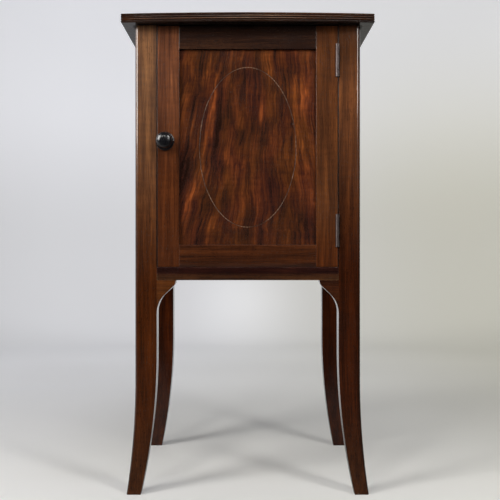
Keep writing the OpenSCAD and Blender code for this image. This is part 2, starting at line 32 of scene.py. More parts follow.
cameraLook = {
    "place": (0.0, -1.7317, 0.3846),
    "pitch": 90.0,                     # degrees up from straight down
    "lens": 71.5,
    "sensor": 36.0,
    "shiftX": 0.0046,
    "shiftY": -0.007,
}


def makeCamera(look):
    data = bpy.data.cameras.new("camera")
    data.lens = look["lens"]
    data.sensor_width = look["sensor"]
    data.shift_x = look["shiftX"]
    data.shift_y = look["shiftY"]
    camera = bpy.data.objects.new("camera", data)
    camera.location = look["place"]
    camera.rotation_euler = (math.radians(look["pitch"]), 0, 0)
    bpy.context.scene.collection.objects.link(camera)
    bpy.context.scene.camera = camera
    bpy.context.scene.view_settings.view_transform = "Standard"


makeCamera(cameraLook)
print("camera in place")


# Small helpers for node trees

mixA, mixB, mixOut = 6, 7, 2           # the colour sockets of a Mix node
noiseLow, noiseHigh = 0.3, 0.7         # nearly all of a noise lies between these


def newMaterial(name):
    material = bpy.data.materials.new(name)
    material.use_nodes = True
    tree = material.node_tree
    tree.nodes.clear()
    return material, tree


def plug(tree, socket, value):
    if isinstance(value, bpy.types.NodeSocket):
        tree.links.new(value, socket)
    else:
        socket.default_value = value


def addNode(tree, kind, inputs=None, **settings):
    node = tree.nodes.new(kind)
    for name, value in settings.items():
        setattr(node, name, value)
    for name, value in (inputs or {}).items():
        plug(tree, node.inputs[name], value)
    return node


def maths(tree, operation, a, b=0.0, clamp=False):
    return addNode(tree, "ShaderNodeMath", {0: a, 1: b}, operation=operation, use_clamp=clamp).outputs[0]


def product(tree, a, b):
    return maths(tree, "MULTIPLY", a, b)


def larger(tree, a, b):
    return maths(tree, "MAXIMUM", a, b)


def addUp(tree, *values):
    total = values[0]
    for value in values[1:]:
        total = maths(tree, "ADD", total, value)
    return total


def vectorMaths(tree, operation, a, b=(0.0, 0.0, 0.0)):
    node = addNode(tree, "ShaderNodeVectorMath", {0: a, 1: b}, operation=operation)
    return node.outputs["Value" if operation in ("DOT_PRODUCT", "LENGTH") else "Vector"]


def remap(tree, value, fromLow, fromHigh, toLow=0.0, toHigh=1.0, smooth=False):
    node = addNode(tree, "ShaderNodeMapRange", {
        "Value": value, "From Min": fromLow, "From Max": fromHigh, "To Min": toLow, "To Max": toHigh,
    })
    if smooth:
        node.interpolation_type = "SMOOTHSTEP"
    return node.outputs["Result"]


def fade(tree, value, edges, toLow=0.0, toHigh=1.0):
    # a smooth change from the first edge to the second
    return remap(tree, value, edges[0], edges[1], toLow, toHigh, smooth=True)


def rgba(colour):
    return (*colour, 1.0)


def mixColour(tree, share, a, b, blend="MIX"):
    node = addNode(tree, "ShaderNodeMix", data_type="RGBA", blend_type=blend)
    plug(tree, node.inputs["Factor"], share)
    plug(tree, node.inputs[mixA], a)
    plug(tree, node.inputs[mixB], b)
    return node.outputs[mixOut]


def grey(tree, value):
    return addNode(tree, "ShaderNodeCombineColor", {"Red": value, "Green": value, "Blue": value}).outputs[0]


def times(tree, colour, value):
    return mixColour(tree, 1.0, colour, grey(tree, value), "MULTIPLY")


def tinted(tree, colour, tint):
    return mixColour(tree, 1.0, colour, rgba(tint), "MULTIPLY")


def noise(tree, vector, detail=3.0, rough=0.5):
    node = addNode(tree, "ShaderNodeTexNoise", {
        "Vector": vector, "Scale": 1.0, "Detail": detail, "Roughness": rough,
    })
    return node.outputs["Fac"]


def placeOn(tree, axis):
    place = addNode(tree, "ShaderNodeTexCoord").outputs["Object"]
    return addNode(tree, "ShaderNodeSeparateXYZ", {"Vector": place}).outputs[axis]


# Grain: the figure is made in coordinates whose Z runs along it

grainTurns = {
    "x": (0.0, math.radians(-90), 0.0),
    "y": (math.radians(90), 0.0, 0.0),
    "z": (0.0, 0.0, 0.0),
}
seedSteps = (0.71, 0.43, 0.97)         # metres on each axis for every 1 of a seed
driftWidth = 0.12


def seeded(tree, vector, seed):
    # another place in the figure, so that no two boards are alike
    return vectorMaths(tree, "ADD", vector, tuple(seed * step for step in seedSteps))


def grainSpace(tree, look):
    place = addNode(tree, "ShaderNodeTexCoord").outputs["Object"]
    turned = addNode(tree, "ShaderNodeMapping", {"Vector": place, "Rotation": grainTurns[look["grain"]]})
    return seeded(tree, turned.outputs["Vector"], look["seed"])


def stretched(tree, vector, across, along):
    # coordinates in units of one figure: across the grain, and along it
    return vectorMaths(tree, "MULTIPLY", vector, (1 / across, 1 / across, 1 / along))


def streaks(tree, vector, width, length, depth, detail=2.0):
    # light and dark streaks along the grain, as plus or minus depth
    figure = noise(tree, stretched(tree, vector, width, length), detail)
    return remap(tree, figure, noiseLow, noiseHigh, -depth, depth)


def wander(tree, vector, amount, length):
    # the lines of grain drift from side to side
    drift = addNode(tree, "ShaderNodeTexNoise", {
        "Vector": stretched(tree, vector, driftWidth, length), "Scale": 1.0, "Detail": 2.0,
    })
    middle = vectorMaths(tree, "SUBTRACT", drift.outputs["Color"], (0.5, 0.5, 0.5))
    return vectorMaths(tree, "ADD", vector, vectorMaths(tree, "MULTIPLY", middle, (amount, amount, 0.0)))


# Masks: rubbed and highlit arrises, painted shade in hollows and beside the door gaps, and bare faces

maskLook = {
    "samples": 4,
    "edge": (0.995, 0.9),              # likeness of rounded and flat normals where wear starts, and is full
    "down": (-0.8, -0.95),             # rise of the normal where a face starts to look down, and does
    "gapShadeCore": 0.35,                 # share of the painted gap shade's width that is fully dark
}


def upward(tree):
    # how far a face looks up, from -1 to 1
    normal = addNode(tree, "ShaderNodeNewGeometry").outputs["Normal"]
    return vectorMaths(tree, "DOT_PRODUCT", normal, (0.0, 0.0, 1.0))


def edgeMask(tree, radius):
    # 1 on rounded arrises, where the wear and the painted highlights go, 0 on flat faces
    around = addNode(tree, "ShaderNodeBevel", {"Radius": radius}, samples=maskLook["samples"])
    flat = addNode(tree, "ShaderNodeNewGeometry")
    same = vectorMaths(tree, "DOT_PRODUCT", around.outputs["Normal"], flat.outputs["Normal"])
    return remap(tree, same, *maskLook["edge"])


def crevice(tree, reach, openness=(0.75, 0.25)):
    # 0 where a place is more open than the first openness, 1 where it is less open than the second
    shade = addNode(tree, "ShaderNodeAmbientOcclusion", {"Distance": reach}, samples=maskLook["samples"])
    return remap(tree, shade.outputs["AO"], *openness)


def paintedGapShade(tree, across, lowest, halfWidth):
    # 1 along an upright line beside the door gap, where painted shade widens the gap's dark line
    away = maths(tree, "ABSOLUTE", maths(tree, "SUBTRACT", placeOn(tree, "X"), across))
    near = fade(tree, away, (halfWidth, halfWidth * maskLook["gapShadeCore"]))
    return product(tree, near, maths(tree, "GREATER_THAN", placeOn(tree, "Z"), lowest))


def finishShader(tree, look, colour, roughness, height, lost=None):
    # lost is the share of the polish that has gone
    bump = addNode(tree, "ShaderNodeBump", {"Height": height, "Distance": look["bumpDepth"]})
    bump.inputs["Strength"].default_value = look["bump"]
    shader = addNode(tree, "ShaderNodeBsdfPrincipled", {
        "Base Color": colour, "Roughness": roughness, "Normal": bump.outputs["Normal"],
    })
    shader.inputs["Specular IOR Level"].default_value = look["specular"]
    shader.inputs["Coat Weight"].default_value = look["coat"]
    if lost:
        plug(tree, shader.inputs["Coat Weight"], remap(tree, lost, 0.0, 1.0, look["coat"], 0.0))
    shader.inputs["Coat Roughness"].default_value = look["coatRoughness"]
    shader.inputs["Metallic"].default_value = look.get("metallic", 0.0)
    addNode(tree, "ShaderNodeOutputMaterial", {"Surface": shader.outputs["BSDF"]})


# Mahogany under old polish: bands, streaks, fine lines and short dark pores along the grain

mahoganyLook = {
    "grain": "z",
    "seed": 1.0,
    "colour": (0.060, 0.017, 0.0055),  # of the piece at its lower end
    "upperColour": None,                     # and at its upper end, where it differs
    "fade": (0.25, 0.70),              # heights between which it changes
    "band": (0.014, 0.28, 0.55),       # width, length and depth of the tone, in doublings
    "streak": (0.0055, 0.11, 0.45),
    "line": (0.0014, 0.045, 0.42),
    "ripple": (0.03, 0.007, 0.12),     # faint waves across the grain
    "pore": (0.0006, 0.007, 0.45),
    "poreSpan": (0.60, 0.68),          # the part of the noise that makes a pore
    "poreMatt": 0.10,                  # how much rougher a pore is
    "poreDepth": 0.5,                  # and how deep beside the fine lines
    "wander": (0.014, 0.35),           # how far the lines drift, and over what length
    "lights": (1.0, 0.97, 0.70),       # tint of the light streaks
    "lightTone": 1.5,                  # and the tone at which it is full
    "darks": (1.0, 1.12, 1.50),        # the same of the dark ones
    "darkTone": -1.2,
    "wearAndHighlight": 0.06,
    "wearReach": 0.0012,
    "rubbed": (2.6, 2.6, 2.6),         # how much paler the rubbed arrises are; on the rails and the top's reeds this paleness is a painted highlight
    "crestHighlights": None,                    # painted highlights on the fronts of the reeds, laid on as paler wear
    # darkening in the hollows by ambient occlusion: painted shade, partly dirt
    "hollowDarkening": 0.80,
    "darkenedColour": (0.0045, 0.0025, 0.0020),
    "hollowReach": 0.004,
    "hollowOpen": (0.75, 0.25),          # openness at which the darkening starts, and is full
    "hollowMatt": 0.25,
    "gapShade": None,                     # painted shade beside a door gap: across, lowest, half width
    "lowShade": None,                  # painted shade towards a lower edge: from, to, share
    "lowShadedWear": 0.15,                # share of the wear that shows through it
    "footDust": None,                  # pale dust towards the floor: from, to, share
    "floorDust": (0.055, 0.032, 0.018),
    "headShade": None,                 # painted shadow of the top board over the upper end: from, to, share
    "bare": None,                      # faces with less polish
    "patch": 0.05,                     # size of the duller and brighter patches
    "roughness": (0.14, 0.23),         # of the brightest patches and the dullest
    "specular": 0.40,
    "coat": 0.40,
    "coatRoughness": 0.07,
    "bump": 0.15,
    "bumpDepth": 0.00015,
}

reedHighlightLook = {
    "facing": 0.30,                    # rise of the normal where the painted highlight on a reed is strongest
    "spread": (0.32, 0.10),            # how far from that the wear starts, and is full
    "below": 0.7404,                   # the topmost reed stays dark
    "lowest": (0.7333, 0.7337),        # where the lowest reed ends
    "lowestShare": 0.5,                # and how strong its painted highlight is beside the others
    "back": 0.205,                     # the plain back edge
    "middle": 0.01,                    # of the front edge
    "ends": (0.02, 0.09),              # distances from it at which the painted highlight starts to fall, and has fallen
    "wearAndHighlight": (1.0, 0.22),               # there
}

topBareLook = {
    "grooveLost": 0.8,                 # share of the polish lost in the grooves
    "underLost": 0.55,                 # on the bare underside
    "underMatt": 0.60,                 # and how much rougher it is
    "flatFrom": 0.7438,                # the flat upper face, dull from use
    "flatLost": 0.85,
    "flatMatt": 0.42,
}


def reedHighlights(tree, look):
    # painted highlights on the upper fronts of the reeds, laid on as paler wear, strongest at the middle of
    # the top's front edge
    crest = fade(tree, maths(tree, "ABSOLUTE", maths(tree, "SUBTRACT", upward(tree), look["facing"])),
                 look["spread"])
    height = placeOn(tree, "Z")
    below = product(tree, maths(tree, "LESS_THAN", height, look["below"]),
                    remap(tree, height, *look["lowest"], look["lowestShare"], 1.0))
    reeded = product(tree, maths(tree, "LESS_THAN", placeOn(tree, "Y"), look["back"]), below)
    fromMiddle = maths(tree, "ABSOLUTE", maths(tree, "SUBTRACT", placeOn(tree, "X"), look["middle"]))
    share = fade(tree, fromMiddle, look["ends"], *look["wearAndHighlight"])
    return product(tree, product(tree, crest, reeded), share)


def bareFaces(tree, look, darkened):
    # the polish lost, and the roughness added, in the grooves, underneath and on the flat top
    under = remap(tree, upward(tree), *maskLook["down"])
    flat = maths(tree, "GREATER_THAN", placeOn(tree, "Z"), look["flatFrom"])
    lost = larger(tree, product(tree, darkened, look["grooveLost"]), product(tree, under, look["underLost"]))
    lost = larger(tree, lost, product(tree, flat, look["flatLost"]))
    matt = addUp(tree, product(tree, under, look["underMatt"]), product(tree, flat, look["flatMatt"]))
    return lost, matt


def polished(tree, look, colour, tone, fine, lines, space):
    # puts the figure, the pores, the paler arrises (wear, and on some pieces a painted highlight) and the
    # darkening (painted shade, partly dirt) on a colour, and the polish over them
    poreWidth, poreLength, poreShade = look["pore"]
    pores = remap(tree, noise(tree, stretched(tree, lines, poreWidth, poreLength), 1.0), *look["poreSpan"])
    colour = mixColour(tree, remap(tree, tone, 0.0, look["lightTone"]), colour,
                       tinted(tree, colour, look["lights"]))
    colour = mixColour(tree, remap(tree, tone, 0.0, look["darkTone"]), colour,
                       tinted(tree, colour, look["darks"]))
    colour = times(tree, colour, maths(tree, "POWER", 2.0, tone))
    colour = times(tree, colour, remap(tree, pores, 0.0, 1.0, 1.0, 1.0 - poreShade))
    # paler arrises: wear, and on the rails and the reeds a painted highlight
    worn = product(tree, edgeMask(tree, look["wearReach"]), look["wearAndHighlight"])
    # painted highlights along the reeds
    if look["crestHighlights"]:
        worn = larger(tree, worn, reedHighlights(tree, look["crestHighlights"]))
    # darker in the hollows, by ambient occlusion: painted shade, partly dirt
    darkened = product(tree, crevice(tree, look["hollowReach"], look["hollowOpen"]), look["hollowDarkening"])
    # painted shade towards a lower edge, which also dims the wear there
    if look["lowShade"]:
        start, end, share = look["lowShade"]
        lowShaded = remap(tree, placeOn(tree, "Z"), start, end, 0.0, share)
        darkened = larger(tree, darkened, lowShaded)
        worn = product(tree, worn, remap(tree, lowShaded, 0.0, share, 1.0, look["lowShadedWear"]))
    # painted shade beside the door gaps
    if look["gapShade"]:
        darkened = larger(tree, darkened, paintedGapShade(tree, *look["gapShade"]))
    rubbed = tinted(tree, colour, look["rubbed"])
    colour = mixColour(tree, worn, mixColour(tree, darkened, colour, rgba(look["darkenedColour"])), rubbed)
    patches = noise(tree, stretched(tree, space, look["patch"], look["patch"]), 2.0)
    roughness = addUp(tree, remap(tree, patches, noiseLow, noiseHigh, *look["roughness"]),
                      product(tree, pores, look["poreMatt"]), product(tree, darkened, look["hollowMatt"]))
    lost = None
    if look["bare"]:
        lost, matt = bareFaces(tree, look["bare"], darkened)
        roughness = addUp(tree, roughness, matt)
    height = maths(tree, "SUBTRACT", fine, product(tree, pores, look["poreDepth"]))
    finishShader(tree, look, colour, roughness, height, lost)


def mahogany(name, changes):
    look = {**mahoganyLook, **changes}
    material, tree = newMaterial(name)
    space = grainSpace(tree, look)
    lines = wander(tree, space, *look["wander"])
    colour = rgba(look["colour"])
    # colour changes with height; on the front legs and the door's stiles the paler upper part is painted
    # light, where the lamps above light them more
    if look["upperColour"]:
        colour = mixColour(tree, fade(tree, placeOn(tree, "Z"), look["fade"]), colour, rgba(look["upperColour"]))
    # painted shadow of the top board over the upper end
    if look["headShade"]:
        start, end, share = look["headShade"]
        colour = times(tree, colour, fade(tree, placeOn(tree, "Z"), (start, end), 1.0, 1.0 - share))
    if look["footDust"]:
        start, end, share = look["footDust"]
        dusty = fade(tree, placeOn(tree, "Z"), (start, end), 0.0, share)
        colour = mixColour(tree, dusty, colour, rgba(look["floorDust"]))
    fine = streaks(tree, lines, *look["line"])
    tone = addUp(tree, streaks(tree, lines, *look["band"]), streaks(tree, lines, *look["streak"]), fine,
                 streaks(tree, lines, *look["ripple"], detail=1.0))
    polished(tree, look, colour, tone, fine, lines, space)
    return material


# The panel: flames that lean to the right at the left edge and stand nearly upright at the right

flameLook = {
    **mahoganyLook,
    "seed": 27.7,
    "red": (0.069, 0.0178, 0.0080),
    "gold": (0.067, 0.0200, 0.0066),
    "hue": (0.030, 0.080),             # width and length of the redder and more golden parts
    "hueSpan": (0.35, 0.65),
    "lights": (1.05, 0.98, 0.60),
    "darks": (1.0, 1.25, 2.00),
    "lean": (0.050, -1.30),            # lean at the middle, and its change per metre to the right
    "leanFrom": 0.54,                  # height where the lean starts
    "flame": (0.0090, 0.100, 0.71),
    "mottle": (0.034, 0.060, 0.65),
    "streak": (0.0042, 0.080, 0.60),
    "line": (0.0021, 0.050, 0.50),
    "ripple": (0.025, 0.0045, 0.16),
    "pore": (0.0006, 0.006, 0.35),
    "wander": (0.022, 0.10),
    "waver": (0.006, 0.025),           # a second, shorter drift
    "loose": (0.02, 0.03, 0.012),      # how the single flames stray: width, length, amount
    "edge": 0.4,                       # share of a single flame left at its half width
    # single flames and dark pools: across, up, half width, half length, tone
    "flames": [
        (-0.055, 0.590, 0.0040, 0.030, 2.0),
        (-0.066, 0.545, 0.0050, 0.045, 1.0),
        (-0.094, 0.645, 0.0050, 0.045, 1.0),
        (-0.060, 0.668, 0.0045, 0.030, 1.0),
        (-0.047, 0.550, 0.0075, 0.050, -1.5),
        (-0.073, 0.652, 0.0080, 0.035, -0.9),
        # partly the wood's figure, partly a painted shadow of the knob
        (-0.101, 0.500, 0.0090, 0.045, -1.3),
        (-0.076, 0.600, 0.0050, 0.030, -0.8),
        (0.022, 0.590, 0.0035, 0.015, 1.3),
        (0.012, 0.605, 0.0060, 0.035, -0.9),
        (0.035, 0.460, 0.0055, 0.040, -1.1),
        (0.088, 0.590, 0.0150, 0.105, 0.80),
        (0.076, 0.570, 0.0040, 0.070, 0.6),
        (0.052, 0.640, 0.0050, 0.040, -0.7),
        (-0.020, 0.500, 0.0220, 0.030, 0.35),
        (0.000, 0.420, 0.0900, 0.040, -0.26),
        (-0.058, 0.540, 0.0350, 0.070, -0.14),
        (0.045, 0.540, 0.0350, 0.070, 0.12),
    ],
}


def flameWood(name):
    look = flameLook
    material, tree = newMaterial(name)
    place = addNode(tree, "ShaderNodeTexCoord").outputs["Object"]
    part = addNode(tree, "ShaderNodeSeparateXYZ", {"Vector": place}).outputs
    leanMiddle, leanChange = look["lean"]
    lean = addUp(tree, product(tree, part["X"], leanChange), leanMiddle)
    rise = maths(tree, "SUBTRACT", part["Z"], look["leanFrom"])
    across = maths(tree, "SUBTRACT", part["X"], product(tree, lean, rise))
    leaned = addNode(tree, "ShaderNodeCombineXYZ", {"X": across, "Y": part["Y"], "Z": part["Z"]})
    space = seeded(tree, leaned.outputs["Vector"], look["seed"])
    lines = wander(tree, wander(tree, space, *look["wander"]), *look["waver"])
    fine = streaks(tree, lines, *look["line"])
    tone = addUp(tree, streaks(tree, lines, *look["flame"]), streaks(tree, lines, *look["mottle"]),
                 streaks(tree, lines, *look["streak"]), fine,
                 streaks(tree, lines, *look["ripple"], detail=1.0))
    hue = remap(tree, noise(tree, stretched(tree, lines, *look["hue"]), 2.0), *look["hueSpan"])
    colour = mixColour(tree, hue, rgba(look["red"]), rgba(look["gold"]))
    looseWidth, looseLength, looseAmount = look["loose"]
    stray = maths(tree, "SUBTRACT", noise(tree, stretched(tree, space, looseWidth, looseLength)), 0.5)
    loose = product(tree, stray, looseAmount)
    for x, z, halfWidth, halfLength, strength in look["flames"]:
        leanHere = leanMiddle + leanChange * x
        sideways = addUp(tree, across, loose, -(x - leanHere * (z - look["leanFrom"])))
        awayAcross = maths(tree, "DIVIDE", sideways, halfWidth)
        awayUp = maths(tree, "DIVIDE", maths(tree, "SUBTRACT", part["Z"], z), halfLength)
        away = addUp(tree, product(tree, awayAcross, awayAcross), product(tree, awayUp, awayUp))
        tone = addUp(tree, tone, product(tree, maths(tree, "POWER", look["edge"], away), strength))
    polished(tree, look, colour, tone, fine, lines, space)
    return material


# Dry planed wood inside the cupboard

insideLook = {
    "grain": "z",
    "seed": 3.0,
    "colour": (0.26, 0.145, 0.073),
    "band": (0.010, 0.25, 0.30),
    "line": (0.0013, 0.05, 0.22),
    "wander": (0.03, 0.4),
    "stain": (0.06, 0.09),             # width and length of the stains
    "stainSpan": (0.5, 0.75),
    "stainShare": 0.5,
    "stainShade": 0.5,
    "hollowDarkening": 0.7,
    "hollowReach": 0.02,
    "darkenedColour": (0.04, 0.025, 0.015),
    "planed": (0.08, 0.004),           # width and length of the plane's marks
    "planedDepth": 0.4,
    "roughness": (0.54, 0.70),         # of the dark lines and the light ones
    "lineSpan": (-0.2, 0.2),
    "specular": 0.30,
    "coat": 0.0,
    "coatRoughness": 0.3,
    "bump": 0.3,
    "bumpDepth": 0.0003,
}


def insideWood(name, changes):
    look = {**insideLook, **changes}
    material, tree = newMaterial(name)
    space = grainSpace(tree, look)
    lines = wander(tree, space, *look["wander"])
    fine = streaks(tree, lines, *look["line"])
    tone = addUp(tree, streaks(tree, lines, *look["band"]), fine)
    colour = times(tree, rgba(look["colour"]), maths(tree, "POWER", 2.0, tone))
    stains = noise(tree, stretched(tree, space, *look["stain"]))
    stained = remap(tree, stains, *look["stainSpan"], 0.0, look["stainShare"])
    colour = mixColour(tree, stained, colour, times(tree, colour, look["stainShade"]))
    # darker in corners and hollows, where the ambient occlusion is low
    darkened = product(tree, crevice(tree, look["hollowReach"]), look["hollowDarkening"])
    colour = mixColour(tree, darkened, colour, rgba(look["darkenedColour"]))
    planed = noise(tree, stretched(tree, space, *look["planed"]), detail=1.0, rough=0.4)
    height = addUp(tree, fine, product(tree, planed, look["planedDepth"]))
    finishShader(tree, look, colour, remap(tree, fine, *look["lineSpan"], *look["roughness"]), height)
    return material


# Hinge steel, worn and tarnished, and the brass of the catch

metalLook = {
    "grain": "z",
    "seed": 5.0,
    "clean": (0.108, 0.088, 0.086),
    "tarnish": (0.070, 0.048, 0.042),
    "spot": (0.004, 0.006),            # width and length of the tarnished spots
    "spotSpan": (0.42, 0.62),
    "tarnishShare": 0.45,
    "tarnishMatt": 0.2,                # how much rougher the tarnish is
    "hollowDarkening": 0.85,
    "hollowReach": 0.003,
    "brushed": (0.0003, 0.02),         # width and length of the fine scratches
    "roughness": (0.40, 0.52),
    "specular": 0.5,
    "metallic": 1.0,
    "coat": 0.0,
    "coatRoughness": 0.2,
    "bump": 0.2,
    "bumpDepth": 0.0001,
}


def wornMetal(name, changes):
    look = {**metalLook, **changes}
    material, tree = newMaterial(name)
    space = grainSpace(tree, look)
    spots = noise(tree, stretched(tree, space, *look["spot"]), detail=4.0, rough=0.65)
    brushed = noise(tree, stretched(tree, space, *look["brushed"]), detail=2.0, rough=0.6)
    dull = product(tree, remap(tree, spots, *look["spotSpan"]), look["tarnishShare"])
    dull = larger(tree, dull, product(tree, crevice(tree, look["hollowReach"]), look["hollowDarkening"]))
    colour = mixColour(tree, dull, rgba(look["clean"]), rgba(look["tarnish"]))
    roughness = addUp(tree, remap(tree, brushed, noiseLow, noiseHigh, *look["roughness"]),
                      product(tree, dull, look["tarnishMatt"]))
    finishShader(tree, look, colour, roughness, addUp(tree, brushed, spots))
    return material


# Ebonised knob

knobLook = {
    "grain": "y",
    "seed": 7.0,
    "black": (0.0042, 0.0042, 0.0060),
    "worn": (0.045, 0.020, 0.012),
    "line": (0.0007, 0.01),            # width and length of the fine lines
    "rub": 0.006,                      # size of the rubbed parts
    "rubSpan": (0.4, 0.6),
    "wearReach": 0.001,
    "roughness": (0.22, 0.37),
    "specular": 0.35,
    "coat": 0.6,
    "coatRoughness": 0.14,
    "bump": 0.12,
    "bumpDepth": 0.0001,
}


def ebonisedWood(name):
    look = knobLook
    material, tree = newMaterial(name)
    space = grainSpace(tree, look)
    fine = noise(tree, stretched(tree, space, *look["line"]), rough=0.6)
    rubbed = noise(tree, stretched(tree, space, look["rub"], look["rub"]), rough=0.6)
    worn = product(tree, edgeMask(tree, look["wearReach"]), remap(tree, rubbed, *look["rubSpan"]))
    colour = mixColour(tree, worn, rgba(look["black"]), rgba(look["worn"]))
    finishShader(tree, look, colour, remap(tree, rubbed, noiseLow, noiseHigh, *look["roughness"]), fine)
    return material


# Stringing: short pale and dark pieces laid end to end round the oval

stringLook = {
    "grain": "z",
    "seed": 9.0,
    "pale": (0.24, 0.135, 0.080),
    "dark": (0.045, 0.020, 0.012),
    "pieces": 110.0,                   # pairs of a pale and a dark piece
    "pieceEdge": 0.3,
    "darkPaleness": 0.35,              # of the dark pieces beside the pale ones
    "patch": 0.022,                    # size of the parts where the line is faint
    "patchSpan": (0.42, 0.60),
    "faintest": 0.05,
    "roughness": 0.32,
    "specular": 0.30,
    "coat": 0.10,
    "coatRoughness": 0.12,
    "bump": 0.1,
    "bumpDepth": 0.0001,
}


def stringing(name, low, high):
    look = stringLook
    material, tree = newMaterial(name)
    middle = (low + high) / 2
    half = (high - low) / 2
    place = addNode(tree, "ShaderNodeTexCoord").outputs["Object"]
    fromMiddle = vectorMaths(tree, "SUBTRACT", place, tuple(middle))
    inOval = vectorMaths(tree, "MULTIPLY", fromMiddle, (1 / half.x, 1.0, 1 / half.z))
    part = addNode(tree, "ShaderNodeSeparateXYZ", {"Vector": inOval}).outputs
    turn = maths(tree, "ARCTAN2", part["Z"], part["X"])
    wave = maths(tree, "SINE", product(tree, turn, look["pieces"]))
    pale = remap(tree, wave, -look["pieceEdge"], look["pieceEdge"], look["darkPaleness"], 1.0)
    patches = noise(tree, stretched(tree, grainSpace(tree, look), look["patch"], look["patch"]), 2.0)
    strong = remap(tree, patches, *look["patchSpan"], look["faintest"], 1.0)
    colour = mixColour(tree, product(tree, pale, strong), rgba(look["dark"]), rgba(look["pale"]))
    finishShader(tree, look, colour, look["roughness"], patches)
    return material


print("material recipes ready")


# Every outer wooden piece is cut from its own board

lockGapShade = (-0.1415, 0.352, 0.0016)   # painted shade along the gap beside the knob
hingeGapShade = (0.1413, 0.352, 0.0014)   # painted shade along the gap beside the hinges
# colour of the painted shade beside the gaps and in the hollows of the pieces next to them
gapShadeColour = (0.0075, 0.0022, 0.0007)

boardLooks = {
    "front_left_leg": {
        "wood": "leg wood front left",
        "seed": 1.3,
        "colour": (0.057, 0.0135, 0.0026),
        "upperColour": (0.156, 0.073, 0.036),
        "fade": (0.29, 0.72),
        "band": (0.014, 0.28, 0.4),
        "gapShade": lockGapShade,
        "darkenedColour": gapShadeColour,
        "footDust": (0.17, 0.02, 0.30),
    },
    "front_right_leg": {
        "wood": "leg wood front right",
        "seed": 2.7,
        "colour": (0.039, 0.0085, 0.0022),
        "upperColour": (0.138, 0.049, 0.0185),
        "fade": (0.33, 0.69),
        "gapShade": hingeGapShade,
        "darkenedColour": gapShadeColour,
        "footDust": (0.17, 0.02, 0.30),
        "headShade": (0.625, 0.695, 0.55),
    },
    "rear_left_leg": {
        "wood": "leg wood rear left",
        "seed": 4.1,
        "colour": (0.046, 0.0095, 0.0022),
        "specular": 0.25,
        "coat": 0.25,
        "footDust": (0.17, 0.02, 0.12),
    },
    "rear_right_leg": {
        "wood": "leg wood rear right",
        "seed": 5.9,
        "colour": (0.046, 0.0090, 0.0022),
        "specular": 0.25,
        "coat": 0.25,
        "footDust": (0.17, 0.02, 0.12),
    },
    "door_lock_stile": {
        "wood": "stile wood left",
        "seed": 7.7,
        "wearAndHighlight": 0.30,
        "colour": (0.068, 0.0190, 0.0065),
        "upperColour": (0.128, 0.045, 0.0215),
        "fade": (0.49, 0.66),
        "gapShade": lockGapShade,
        "darkenedColour": gapShadeColour,
        "headShade": (0.67, 0.72, 0.22),
    },
    "door_hinge_stile": {
        "wood": "stile wood right",
        "seed": 9.2,
        "wearAndHighlight": 0.20,
        "colour": (0.080, 0.0205, 0.0055),
        "upperColour": (0.106, 0.035, 0.0118),
        "fade": (0.35, 0.46),
        "gapShade": hingeGapShade,
        "darkenedColour": gapShadeColour,
        "headShade": (0.66, 0.72, 0.26),
    },
    "left_side_board": {
        "wood": "side wood left",
        "seed": 11.4,
        "band": (0.02, 0.30, 0.4),
        "colour": (0.075, 0.024, 0.0085),
        "upperColour": (0.12, 0.045, 0.018),
    },
    "right_side_board": {
        "wood": "side wood right",
        "seed": 13.8,
        "band": (0.02, 0.30, 0.4),
        "colour": (0.070, 0.022, 0.0080),
        "upperColour": (0.11, 0.040, 0.016),
    },
    "front_bottom_rail": {
        "wood": "rail wood bottom",
        "grain": "x",
        "seed": 15.1,
        # the pale upper arris is a painted highlight, laid on as wear
        "wearAndHighlight": 1.0,
        "wearReach": 0.0016,
        "rubbed": (4.2, 6.0, 6.5),
        "colour": (0.034, 0.0130, 0.0062),
        "upperColour": (0.0155, 0.0042, 0.0033),
        "fade": (0.337, 0.345),
    },
    "door_top_rail": {
        "wood": "door rail wood top",
        "grain": "x",
        "seed": 17.3,
        "roughness": (0.11, 0.20),
        "colour": (0.027, 0.0117, 0.0074),
        # the long reach darkens the rail under the top's overhang: painted shadow
        "hollowReach": 0.03,
        "hollowOpen": (0.85, 0.35),
    },
    "door_bottom_rail": {
        "wood": "door rail wood bottom",
        "grain": "x",
        "seed": 18.9,
        # the pale upper arris is a painted highlight, laid on as wear
        "wearAndHighlight": 1.0,
        "wearReach": 0.0016,
        "rubbed": (3.0, 4.0, 6.5),
        # painted shade towards the lower edge, in the gap under the door
        "lowShade": (0.3625, 0.3535, 0.60),
        "colour": (0.053, 0.0152, 0.0054),
    },
    "left_bracket": {
        "wood": "bracket wood left",
        "grain": "x",
        "seed": 21.2,
        "colour": (0.085, 0.0260, 0.0070),
    },
    "right_bracket": {
        "wood": "bracket wood right",
        "grain": "x",
        "seed": 22.6,
        "colour": (0.036, 0.0100, 0.0040),
    },
    "top_board": {
        "wood": "top wood",
        "grain": "x",
        "seed": 24.4,
        "colour": (0.035, 0.0113, 0.0044),
        "roughness": (0.08, 0.17),
        "specular": 0.2,
        "coat": 0.8,
        # painted highlights along the reeds, laid on as paler wear in a pale grey tint
        "crestHighlights": reedHighlightLook,
        "rubbed": (4.6, 9.0, 16.0),
        # dark painted shade in the grooves between the reeds
        "hollowDarkening": 1.0,
        "hollowReach": 0.006,
        "hollowOpen": (1.0, 0.78),
        # painted shade on the lowest reed
        "lowShade": (0.7345, 0.7325, 0.6),
        "bare": topBareLook,
    },
}

insideBoards = {
    "inside wood upright": {
        "grain": "z",
        "seed": 30.0,
        "pieces": ["door_stop", "back_panel"],
    },
    "inside wood across": {
        "grain": "x",
        "seed": 31.0,
        "pieces": ["front_head_rail", "rear_top_rail", "rear_bottom_rail", "bottom_board", "shelf"],
    },
    "inside wood deep": {
        "grain": "y",
        "seed": 32.0,
        "pieces": ["shelf_bearers", "glue_blocks"],
    },
}

